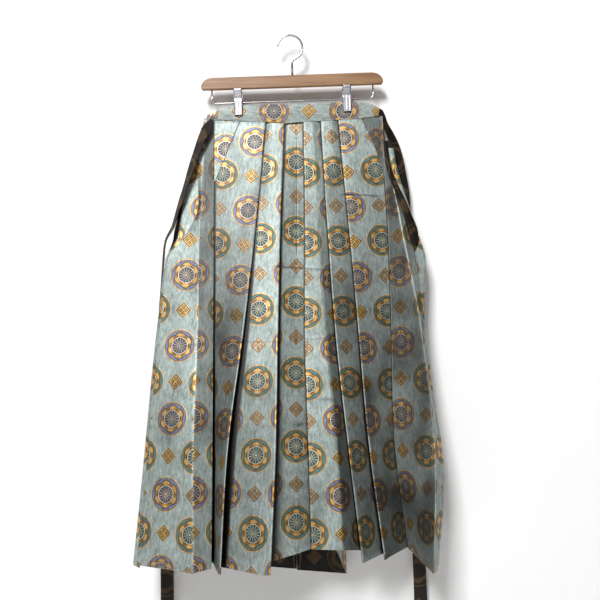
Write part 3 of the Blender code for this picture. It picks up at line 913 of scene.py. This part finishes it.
def build_figures():
    """The woven figures: wheels in teal and in blue, and lozenges between them.

    Lengths are in millimetres. r is the distance from the middle of the nearest
    wheel, and d that from the middle of the nearest lozenge.
    """
    tree, cloth, sink = open_group("woven_figures",
                                   {"Colour": "Color", "Figure": "Float", "Gilt": "Float"})
    maths = partial(number, tree)
    mask = partial(band_mask, tree)
    blend = partial(blend_colour, tree)

    def choose(share, a, b):
        return maths("MULTIPLY_ADD", share, maths("SUBTRACT", b, a), a)

    teal = []
    blue = []
    for metres, size in zip(add_node(tree, "SeparateXYZ", {0: cloth})[:2], REPEAT):
        place = maths("MULTIPLY", metres, 1 / MM)
        half = size / MM / 2
        teal.append(maths("WRAP", place, half, -half))
        blue.append(maths("WRAP", maths("SUBTRACT", place, half), half, -half))
    teal_r, blue_r = (
        maths("SQRT", maths("ADD", maths("MULTIPLY", x, x), maths("MULTIPLY", y, y)))
        for x, y in (teal, blue))
    is_blue = maths("LESS_THAN", blue_r, teal_r)
    r = maths("MINIMUM", teal_r, blue_r)
    turn = maths("ARCTAN2", choose(is_blue, teal[0], blue[0]), choose(is_blue, teal[1], blue[1]))

    def off_spoke(count):
        """Angle from the nearest of some spokes."""
        reach = math.pi / count
        return maths("ABSOLUTE", maths("WRAP", turn, reach, -reach))

    # Six wide low petals stand on the white ring and run into each other there.
    petal_angle = off_spoke(6)
    flank = maths("MULTIPLY_ADD", petal_angle, -9.0, 25.6)
    inside_petal = maths("SUBTRACT", maths("MINIMUM", flank, 24.8), r)
    petal = mask(inside_petal, low=0.0, soft=0.6)
    petal_edge = mask(inside_petal, -1.5, 0.1, 0.6)
    # The pale gold in the middle of each petal is a painted highlight on the raised gilt, and the
    # bronze in the notches between petals is painted shade.
    light = maths("MULTIPLY", mask(petal_angle, high=0.24, soft=0.10), mask(r, 18.2, 22.4, 1.0))
    notch = maths("MULTIPLY", mask(petal_angle, low=0.30, soft=0.12), mask(r, 15.0, 19.6, 1.0))

    spoke_off = maths("MULTIPLY", off_spoke(14), r)
    spoke = maths("SUBTRACT", 1.0, mask(spoke_off, low=0.50, soft=0.4))
    spoke = maths("MULTIPLY", spoke, mask(r, 3.4, 14.0, 0.8))
    spoke = maths("MAXIMUM", spoke, mask(r, high=2.2))

    ring_colour, spoke_colour, hollow = (
        blend(is_blue, PALETTE[a], PALETTE[b])
        for a, b in (("teal", "blue"), ("pale_teal", "pale_rose"), ("dark_teal", "dark_blue")))
    disc = blend(mask(r, low=15.8), blend(spoke, hollow, spoke_colour), ring_colour)
    petals = disc
    for share, name in ((petal, "gold"), (light, "pale_gold"), (notch, "bronze"),
                        (petal_edge, "outline")):
        petals = blend(share, petals, PALETTE[name])
    disc = blend(mask(r, low=16.2), disc, petals)
    for low, high, name in ((15.0, 16.0, "white"), (28.3, 29.7, "bronze"),
                            (29.6, 31.2, "pale_gold")):
        disc = blend(mask(r, low, high), disc, PALETTE[name])
    in_disc = mask(r, high=31.2)

    rose_d, gold_d = (maths("ADD", maths("ABSOLUTE", x), maths("ABSOLUTE", y))
                      for x, y in ((teal[0], blue[1]), (blue[0], teal[1])))
    is_gold = maths("LESS_THAN", gold_d, rose_d)
    d = maths("MINIMUM", rose_d, gold_d)
    sideways = choose(is_gold, teal[0], blue[0])
    upright = choose(is_gold, blue[1], teal[1])
    cell = 11.4
    rising, falling = (
        maths("ABSOLUTE", maths("SUBTRACT", maths("WRAP", maths(way, sideways, upright), cell, 0.0),
                                cell / 2))
        for way in ("ADD", "SUBTRACT"))
    inner = maths("MAXIMUM", rising, falling)
    squares = maths("MAXIMUM", mask(inner, 2.1, 4.2, 0.5), mask(inner, high=0.9, soft=0.5))
    lines = maths("MAXIMUM", maths("MULTIPLY", squares, mask(d, high=11.4)), mask(d, 12.4, 14.6))
    in_lozenge = mask(d, high=15.8)
    lozenge = blend(lines, blend(is_gold, PALETTE["rose"], PALETTE["pale_gold"]),
                    blend(is_gold, PALETTE["rust"], PALETTE["lozenge_line"]))

    gilt = maths("MULTIPLY", petal, mask(r, 16.2, 31.2))
    for gilded in (mask(r, 28.7, 31.2), in_lozenge, mask(r, 14.9, 16.2)):
        gilt = maths("MAXIMUM", gilt, gilded)
    feed(sink, {"Colour": blend(in_lozenge, blend(in_disc, PALETTE["ground"], disc), lozenge),
                "Figure": maths("MAXIMUM", in_disc, in_lozenge), "Gilt": gilt})
    return tree


def build_threads():
    """Uneven thread and a fine twill, for colour and for relief."""
    tree, cloth, sink = open_group("threads", {"Unevenness": "Float", "Relief": "Float"})
    fine, broad, clouds = (
        add_cloud(tree, cloth, scale, detail, stretch=(1.0, stretch, 1.0), turn=0.42)
        for scale, stretch, detail in ((560.0, 0.30, 2.0), (210.0, 0.32, 2.0), (24.0, 0.7, 3.0)))
    unevenness = number(tree, "MULTIPLY_ADD", fine, 0.32, number(tree, "MULTIPLY", broad, 0.43))
    feed(sink, {
        "Unevenness": number(tree, "MULTIPLY_ADD", clouds, 0.25, unevenness),
        "Relief": number(tree, "MULTIPLY_ADD", fine, 0.5, number(tree, "MULTIPLY", broad, 0.5))})
    return tree


def cloth_nodes(tree, groups):
    """The outputs of each of the cloth's groups, placed in a material."""
    uv = add_node(tree, "UVMap", uv_map="cloth")[0]
    return [add_node(tree, "Group", {"Cloth": uv}, node_tree=group) for group in groups]


def make_brocade(groups):
    """The face of the cloth: pale satin with the figures in silk and gilt."""
    material, tree, shader = open_material("brocade_face")
    woven, thread = cloth_nodes(tree, groups)
    maths = partial(number, tree)
    # The tuck attribute is painted shade: it blends the colour towards near black and takes the
    # gloss away.
    tuck = add_node(tree, "Attribute", attribute_name="tuck")["Fac"]
    colour = darken(tree, woven["Colour"], thread["Unevenness"], -0.55, 2.55)
    metal = maths("MULTIPLY_ADD", woven["Gilt"], 0.10, SATIN_GLOSS)
    height = maths("MULTIPLY_ADD", woven["Figure"], 0.5, maths("MULTIPLY", thread["Relief"], 0.9))
    feed(shader, {
        "Base Color": blend_colour(tree, tuck, colour, PALETTE["tuck"]),
        "Roughness": maths("MULTIPLY_ADD", woven["Gilt"], -0.06, SATIN_ROUGHNESS),
        "Metallic": maths("MULTIPLY", metal, maths("SUBTRACT", 1.0, tuck)),
        "Normal": relief(tree, height, 0.55, 0.0006)})
    return material


def make_reverse(groups):
    """The dark back of the cloth, with the figures as dull floats."""
    material, tree, shader = open_material("brocade_reverse")
    woven, thread = cloth_nodes(tree, groups)
    share = number(tree, "MULTIPLY", woven["Gilt"], 0.8)
    colour = blend_colour(tree, share, PALETTE["reverse"], PALETTE["reverse_float"])
    feed(shader, {
        "Base Color": darken(tree, colour, thread["Unevenness"], 0.6, 1.4),
        "Roughness": 0.7, "Specular IOR Level": 0.22,
        "Normal": relief(tree, thread["Relief"], 0.5, 0.0004)})
    return material


def make_wood():
    """Lacquered light wood with a fine grain along the bar."""
    material, tree, shader = open_material("hanger_wood")
    place = add_node(tree, "TexCoord")["Object"]
    grain = add_cloud(tree, place, 1.6, 5.0, 0.6, (6.0, 90.0, 190.0))
    spread = add_node(tree, "MapRange", {"Value": grain, "From Min": 0.35, "From Max": 0.68})[0]
    feed(shader, {
        "Base Color": blend_colour(tree, spread, (0.29, 0.156, 0.066), (0.17, 0.076, 0.026)),
        "Roughness": 0.38, "Coat Weight": 0.15, "Coat Roughness": 0.3,
        "Normal": relief(tree, grain, 0.15, 0.0003)})
    return material


def make_metal(name, colour, roughness):
    """Plated metal with faint wear in its gloss."""
    material, tree, shader = open_material(name)
    cloud = add_cloud(tree, add_node(tree, "TexCoord")["Object"], 240.0, 3.0)
    wear = 0.16
    feed(shader, {"Base Color": colour, "Metallic": 1.0,
                  "Roughness": number(tree, "MULTIPLY_ADD", cloud, wear, roughness - wear / 2)})
    return material


def make_rubber(name, colour, roughness):
    """Moulded rubber, slightly uneven."""
    material, tree, shader = open_material(name)
    cloud = add_cloud(tree, add_node(tree, "TexCoord")["Object"], 500.0)
    feed(shader, {"Base Color": darken(tree, colour, cloud, 0.7, 1.3), "Roughness": roughness})
    return material


# ---------------------------------------------------------------- waist and ties

def round_off(piece, width):
    edges = piece.modifiers.new("rounded_edges", "BEVEL")
    edges.width = width
    edges.segments = 3
    edges.limit_method = "ANGLE"
    edges.angle_limit = math.radians(50)


def make_band(materials):
    """The front waistband, its figures turned a quarter, its top edge rounded."""
    cells = 140

    def place(down, across):
        x = MM * mix(BAND_X_MM[0], BAND_X_MM[-1], across)
        z = mix(along(x, BAND_X_MM, BAND_TOP_MM), waist_z(x), down)
        puff = 0.0004 * math.sin(math.pi * down)
        puff += 0.0003 * noise.noise(Vector((x * 25, z * 30, 2.0)))
        return Vector((x, BAND_DEPTH + puff, z)), (z + 0.2034, x + 0.098)

    rows, table = lay_out(12, cells, place)
    # The whole band is darkened a little with painted shade.
    piece = make_sheet("waistband_cloth", rows, [(0, cells, table)], materials, True,
                       BAND_THICKNESS, BAND_SHADE)
    round_off(piece, 0.0012)
    settle(piece, "brocade", "front_waistband")
    flat_area(rows)


def make_board(materials):
    """The stiffened board at the back, wider at the bottom."""
    cells = 90

    def place(down, across):
        ends = (mix(top, bottom, down) for top, bottom in zip(BOARD_TOP_X, BOARD_BOTTOM_X))
        x = mix(*ends, across)
        z = mix(mix(*BOARD_TOP_Z, across), BOARD_BOTTOM, down)
        return Vector((x, BOARD_DEPTH, z)), (z + 0.178, x - 0.019)

    rows, table = lay_out(24, cells, place)
    piece = make_sheet("back_board_cloth", rows, [(0, cells, table)], materials, False,
                       BOARD_THICKNESS)
    round_off(piece, 0.0009)
    settle(piece, "brocade", "back_board")
    flat_area(rows)


def smooth_route(points, steps):
    """A smooth curve through points of four numbers each."""
    out = []
    last = len(points) - 1
    for i in range(last):
        p0 = points[max(i - 1, 0)]
        p1 = points[i]
        p2 = points[i + 1]
        p3 = points[min(i + 2, last)]
        for k in range(steps):
            t = k / steps
            out.append(tuple(
                0.5 * (2 * b + (c - a) * t + (2 * a - 5 * b + 4 * c - d) * t * t
                       + (3 * b - a - 3 * c + d) * t * t * t)
                for a, b, c, d in zip(p0, p1, p2, p3)))
    out.append(tuple(float(value) for value in points[-1]))
    return out


def make_tie(name, tie, materials):
    """A flat tie along its route, twisting, with a slight cup."""
    route = [point for point in smooth_route(tie.points, 10) if point[2] < tie.hidden_above_mm]
    places = [Vector((x, z)) * MM for x, _, z, _ in route]
    cells = 8
    rows = []
    table = []
    down = 0.0
    for i, (_, depth, _, turn) in enumerate(route):
        here = places[i]
        run = (places[min(i + 1, len(route) - 1)] - places[max(i - 1, 0)]).normalized()
        across = Vector((-run.y, run.x))
        angle = math.radians(turn)
        half = 0.5 * tie.width * 0.985
        if tie.narrows:
            half *= mix(0.25, 1.0, smooth_step(i / 14))
        if i:
            down += (here - places[i - 1]).length
        row = []
        line = []
        for k in range(cells + 1):
            s = 2 * k / cells - 1
            reach = s * half * math.cos(angle)
            cup = 0.0006 * math.sin(down * 60.0) * (1 - s * s)
            row.append(Vector((here.x + across.x * reach,
                               depth * MM + s * half * math.sin(angle) + cup,
                               here.y + across.y * reach)))
            line.append((s * half + 0.004, down + 0.03))
        rows.append(row)
        table.append(line)
    piece = make_sheet(f"{name}_cloth", rows, [(0, cells, table)], materials, True, TIE_THICKNESS)
    settle(piece, "tie_cloth", name)
    length = sum((Vector(a[:3]) - Vector(b[:3])).length * MM for a, b in zip(route, route[1:]))


# ---------------------------------------------------------------- the hanger

TILT = Matrix.Rotation(math.radians(-2.0), 4, "Y")
CLIP_X = {"right": -0.1039, "left": 0.1074}

HOOK_WIRE = 0.0022        # radius of the wire
HOOK_RADIUS = 0.0243
HOOK_SWEEP = 70           # degrees past the side at which the ring bends back
STEM_X = 0.003
STEM_END = -0.0764

RAIL_WIRE = 0.0015
RAIL_Z = -0.126
RAIL_TOP = -0.1000
RAIL_BEND = 0.007
RAIL_ENDS = (0.002 - 0.157, 0.002 + 0.157)

COIL_WIRE = 0.00052
COIL_RADIUS = 0.0030
COIL_LENGTH = 0.0068
COIL_TURNS = 7
COIL_STEPS = 16

# A clip plate: its depth from the rail at the front and back, half its width, its
# ends above and below the rail, and its ribs.
PLATE_FACES = {"front": (-1.0, 0.0095), "back": (1.0, 0.0075)}
PLATE_HALF = 0.0079
PLATE_ENDS = (0.0248, -0.0258)
PLATE_THICKNESS = 0.0007
RIB = 0.00030
TAB_RIB_PITCH = 0.0048
TAB_RIB_MIDDLE = 0.0165


def arc(centre, radius, start, end, steps):
    """Points on an arc in the X-Z plane, in degrees from +X towards +Z."""
    turns = [math.radians(mix(start, end, i / steps)) for i in range(steps + 1)]
    return [Vector((centre[0] + radius * math.cos(turn), 0.0,
                    centre[1] + radius * math.sin(turn))) for turn in turns]


def add_wire(name, points, radius, material, around=14):
    """A round wire along its points, closed at both ends."""
    count = len(points)
    bm = open_grid(around, count - 1)
    run = (points[1] - points[0]).normalized()
    side = run.cross(Vector((0.0, 1.0, 0.01))).normalized()
    for j, place in enumerate(points):
        run = (points[min(j + 1, count - 1)] - points[max(j - 1, 0)]).normalized()
        side = (side - run * side.dot(run)).normalized()
        up = run.cross(side)
        for i in range(around + 1):
            turn = 2 * math.pi * i / around
            offset = side * math.cos(turn) + up * math.sin(turn)
            bm.verts[j * (around + 1) + i].co = TILT @ (place + offset * radius)
    bmesh.ops.remove_doubles(bm, verts=bm.verts, dist=1e-6)
    bmesh.ops.holes_fill(bm, edges=bm.edges, sides=0)
    bmesh.ops.recalc_face_normals(bm, faces=bm.faces)
    return link_mesh(name, bm, [material])


def make_hook(material):
    """The hook: most of a ring, a bend back, and the stem into the bar."""
    ring = arc((0.0, HOOK_WIRE - HOOK_RADIUS), HOOK_RADIUS, 172, -HOOK_SWEEP, 90)
    end = ring[-1]
    bend = (end.x - STEM_X) / (1.0 - math.cos(math.radians(HOOK_SWEEP)))
    centre = (STEM_X + bend, end.z - bend * math.sin(math.radians(HOOK_SWEEP)))
    back = arc(centre, bend, 180 - HOOK_SWEEP, 180, 20)[1:]
    stem = Vector((STEM_X, 0.0, STEM_END))
    piece = add_wire("hook_wire", ring + back + [stem], HOOK_WIRE, material)
    settle(piece, "hanger_wire", "hanger_hook")


def make_rail(material):
    """The rail under the bar, with both ends bent up into the wood."""
    start, end = RAIL_ENDS
    level = RAIL_Z + RAIL_BEND
    points = [Vector((start, 0.0, RAIL_TOP)),
              *arc((start + RAIL_BEND, level), RAIL_BEND, 180, 270, 14),
              *arc((end - RAIL_BEND, level), RAIL_BEND, 270, 360, 14),
              Vector((end, 0.0, RAIL_TOP))]
    piece = add_wire("rail_wire", points, RAIL_WIRE, material, 12)
    settle(piece, "hanger_wire", "hanger_rail")


def make_spring(side, x, material):
    """The wound spring of a clip, round the rail."""
    steps = COIL_TURNS * COIL_STEPS
    points = []
    for i in range(steps + 1):
        turn = 2 * math.pi * i / COIL_STEPS
        points.append(Vector((x - COIL_LENGTH / 2 + COIL_LENGTH * i / steps,
                              COIL_RADIUS * math.cos(turn), RAIL_Z + COIL_RADIUS * math.sin(turn))))
    piece = add_wire(f"clip_{side}_coil", points, COIL_WIRE, material, 6)
    settle(piece, "clip_metal", f"clip_{side}_spring")


def rib_at(s, height):
    """How far a clip plate's ribs stand out: across the tab above, down the jaw below."""
    if height > 0.008:
        wave = (height - TAB_RIB_MIDDLE) * 2 * math.pi / TAB_RIB_PITCH
        return RIB * max(0.0, math.cos(wave)) * smooth_step((0.85 - abs(s)) / 0.15)
    if height < 0.003:
        ends = smooth_step((0.9 - abs(s)) / 0.15) * smooth_step((height + 0.024) / 0.002)
        return RIB * max(0.0, math.cos(s * 2.5 * math.pi)) * ends
    return 0.0


def make_plate(side, facing, x, material):
    """A pressed clip plate, turned in at its sides, its tab flared out."""
    way, face = PLATE_FACES[facing]
    columns = 40
    levels = 64
    bm = open_grid(columns, levels)
    for k, vertex in enumerate(bm.verts):
        j, i = divmod(k, columns + 1)
        height = mix(*PLATE_ENDS, j / levels)
        s = 2 * i / columns - 1
        flare = 0.0035 * smooth_step((height - 0.004) / 0.022)
        fold = -0.0011 * smooth_step((abs(s) - 0.88) / 0.12)
        taper = 1.0 - 0.10 * smooth_step((height - 0.020) / 0.006)
        out = face + flare + 0.0006 + rib_at(s, height) + fold
        vertex.co = TILT @ Vector((x + s * PLATE_HALF * taper, way * out, RAIL_Z + height))
    if way < 0:
        bmesh.ops.reverse_faces(bm, faces=bm.faces)
    piece = link_mesh(f"clip_{side}_{facing}_pressing", bm, [material])
    add_wall(piece, PLATE_THICKNESS)
    settle(piece, "clip_metal", f"clip_{side}_{facing}_plate")


# ---------------------------------------------------------------- the stage

def lay_plane(name, size, turn, place, material):
    """A plane of the stage, turned about X and put in its place."""
    bm = bmesh.new()
    bmesh.ops.create_grid(bm, x_segments=1, y_segments=1, size=size)
    bmesh.ops.rotate(bm, cent=(0, 0, 0), matrix=Matrix.Rotation(turn, 3, "X"), verts=bm.verts)
    bmesh.ops.translate(bm, vec=place, verts=bm.verts)
    link_mesh(name, bm, [material])


def make_stage():
    """A pale floor, and a white wall that is seen from the front only."""
    paint, tree, shader = open_material("wall_paint")
    feed(shader, {"Base Color": (0.86, 0.86, 0.865), "Roughness": 0.9})
    unseen = number(tree, "MAXIMUM", add_node(tree, "NewGeometry")["Backfacing"],
                    add_node(tree, "LightPath")["Is Shadow Ray"])
    clear = add_node(tree, "BsdfTransparent")[0]
    seen = add_node(tree, "MixShader", {0: unseen, 1: shader.outputs[0], 2: clear})[0]
    feed(tree.nodes["Material Output"], {"Surface": seen})
    lay_plane("wall", 4.0, math.radians(90), (0, 0.036, 2.6), paint)

    paint, _, shader = open_material("floor_paint")
    feed(shader, {"Base Color": (0.80, 0.79, 0.77), "Roughness": 0.8})
    lay_plane("floor", 8.0, 0.0, (0, 0, -1.4), paint)


def add_light(name, place, target, size, power):
    data = bpy.data.lights.new(name, "AREA")
    data.shape = "RECTANGLE"
    data.size, data.size_y = size
    data.energy = power
    lamp = bpy.data.objects.new(name, data)
    lamp.location = place
    lamp.rotation_mode = "QUATERNION"
    lamp.rotation_quaternion = (Vector(target) - Vector(place)).to_track_quat("-Z", "Y")
    bpy.context.scene.collection.objects.link(lamp)


def make_lights():
    world = bpy.data.worlds.new("studio")
    bpy.context.scene.world = world
    world.use_nodes = True
    feed(world.node_tree.nodes["Background"], {"Color": (1.0, 1.0, 1.0), "Strength": 0.055})
    add_light("high", (-1.00, -3.4, 2.00), (0.0, 0.0, -0.6), (1.0, 1.2), 216.0)
    add_light("front", (-0.70, -3.3, 0.25), (0.0, 0.0, -0.55), (1.5, 1.3), 7.0)
    add_light("back_fill", (0.9, 1.8, 0.3), (0.0, 0.0, -0.5), (1.4, 1.4), 9.0)


def make_camera():
    distance = 1.6
    view_width = 1.17
    data = bpy.data.cameras.new("camera")
    data.sensor_width = 36.0
    data.lens = data.sensor_width * distance / view_width
    camera = bpy.data.objects.new("camera", data)
    camera.location = (0.0205, -distance, -0.514)
    camera.rotation_euler = (math.radians(90), 0.0, 0.0)
    bpy.context.scene.collection.objects.link(camera)
    bpy.context.scene.camera = camera


# ---------------------------------------------------------------- all of it

def main():
    groups = (build_figures(), build_threads())
    face = make_brocade(groups)
    reverse = make_reverse(groups)
    cloth = [face, reverse]
    for side in ("right", "left"):
        shaped, first, last = make_front(side, cloth)
        make_flap(side, shaped, first, last, cloth)
        make_back(side, cloth)
        make_gusset(side, cloth)
    make_band([face, face])
    make_board([face, face])
    for name, tie in TIES.items():
        make_tie(name, tie, [reverse, face])
    wood = make_wood()
    wire = make_metal("hanger_wire", (0.42, 0.385, 0.38), 0.24)
    plate = make_metal("clip_metal", (0.50, 0.50, 0.53), 0.34)
    pad = make_rubber("clip_pad", (0.012, 0.012, 0.012), 0.6)
    make_hook(wire)
    make_rail(wire)
    finishes = {"hanger_bar": wood}
    for side, x in CLIP_X.items():
        make_spring(side, x, wire)
        for facing in ("front", "back"):
            make_plate(side, facing, x, plate)
            finishes[f"clip_{side}_{facing}_pad"] = pad
    for name, material in finishes.items():
        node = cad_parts[name]
        node.data.materials.clear()
        node.data.materials.append(material)
    make_stage()
    make_lights()
    make_camera()
    bpy.context.scene.view_settings.view_transform = "Standard"


main()
